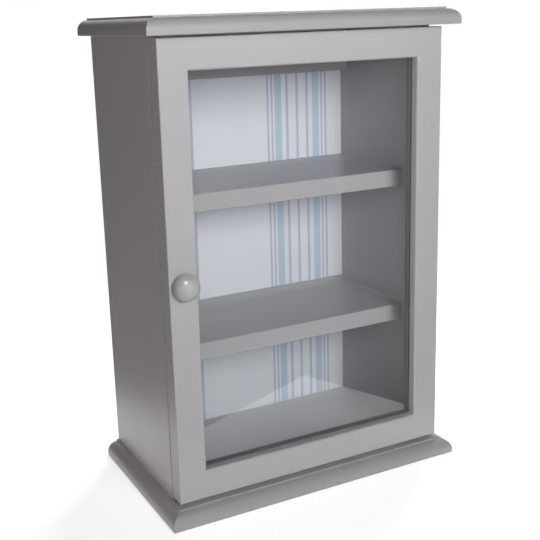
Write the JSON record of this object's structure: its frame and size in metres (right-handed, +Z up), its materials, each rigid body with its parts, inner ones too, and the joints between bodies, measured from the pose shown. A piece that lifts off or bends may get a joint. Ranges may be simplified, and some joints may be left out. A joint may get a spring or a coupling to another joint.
{
  "type": "wall curio cabinet",
  "caption": "Small grey-painted wall cabinet with moulded crown and base, fixed shelves, striped paper lining and a hinged, glazed frame door with a round knob.",
  "frame": {"origin": "on the floor plane under the middle of the whole cabinet, knob included", "axes": "+X to the right of someone facing the door, +Y back to the wall, +Z up"},
  "size_m": [0.355, 0.2088, 0.51],
  "materials": {
    "satin_grey_paint": "satin grey paint on fibreboard and wood",
    "raw_board": "unpainted fibreboard",
    "striped_paper": "matt printed paper with blue stripes",
    "clear_glass": "clear float glass",
    "brass": "plain brass",
    "zinc_steel": "zinc-plated steel",
    "catch_plastic": "moulded white plastic",
    "ferrite": "sintered ferrite"
  },
  "bodies": {
    "carcass": {"crown_board": "satin_grey_paint", "base_board": "satin_grey_paint", "left_side_panel": "satin_grey_paint", "right_side_panel": "satin_grey_paint", "upper_shelf": "satin_grey_paint", "lower_shelf": "satin_grey_paint", "hanging_rail": "satin_grey_paint", "back_panel": "raw_board", "upper_lining_paper": "striped_paper", "middle_lining_paper": "striped_paper", "lower_lining_paper": "striped_paper", "upper_hinge_carcass_leaf": "brass", "upper_hinge_pin": "brass", "lower_hinge_carcass_leaf": "brass", "lower_hinge_pin": "brass", "catch_housing": "catch_plastic", "catch_pole_plates": "zinc_steel", "catch_magnet": "ferrite"},
    "door": {"door_left_stile": "satin_grey_paint", "door_right_stile": "satin_grey_paint", "door_top_rail": "satin_grey_paint", "door_bottom_rail": "satin_grey_paint", "door_glass": "clear_glass", "bottom_glazing_bead": "satin_grey_paint", "right_glazing_bead": "satin_grey_paint", "top_glazing_bead": "satin_grey_paint", "left_glazing_bead": "satin_grey_paint", "door_knob": "satin_grey_paint", "upper_hinge_door_leaf": "brass", "lower_hinge_door_leaf": "brass", "catch_strike_plate": "zinc_steel"}
  },
  "joints": [
    {"name": "door_hinge", "type": "hinge", "parent": "carcass", "child": "door", "pos_m": [0.1664, -0.0635, 0.255], "axis": [0, 0, 1], "range_deg": [0, 195]}
  ]
}
